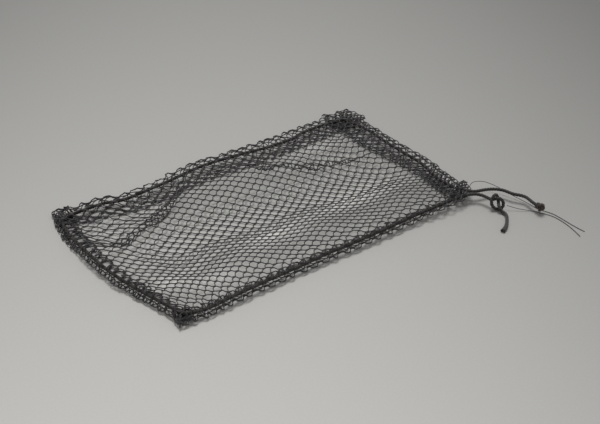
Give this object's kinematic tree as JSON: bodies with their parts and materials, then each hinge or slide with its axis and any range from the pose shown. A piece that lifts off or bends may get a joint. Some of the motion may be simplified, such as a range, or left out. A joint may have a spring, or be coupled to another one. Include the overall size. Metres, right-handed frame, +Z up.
{
  "type": "luggage net",
  "caption": "Rectangle of black knitted luggage netting, edges turned under as a hem round a drawcord whose two knotted ends leave at one corner, lying loosely on a surface.",
  "frame": {"origin": "on the surface, under the middle of the net without its free cord ends", "axes": "+X along the net's long side, +Y along its short side, +Z up from the surface"},
  "size_m": [0.2297, 0.1866, 0.0091],
  "materials": {
    "netting": "matt knitted yarn",
    "cord": "matt twisted cord",
    "thread": "fine smooth thread"
  },
  "bodies": {
    "root": {"net": "netting", "drawcord": "cord", "tie_long": "cord", "tie_short": "cord", "stopper_knot": "cord", "thread_tail_upper": "thread", "thread_tail_lower": "thread"}
  },
  "joints": []
}
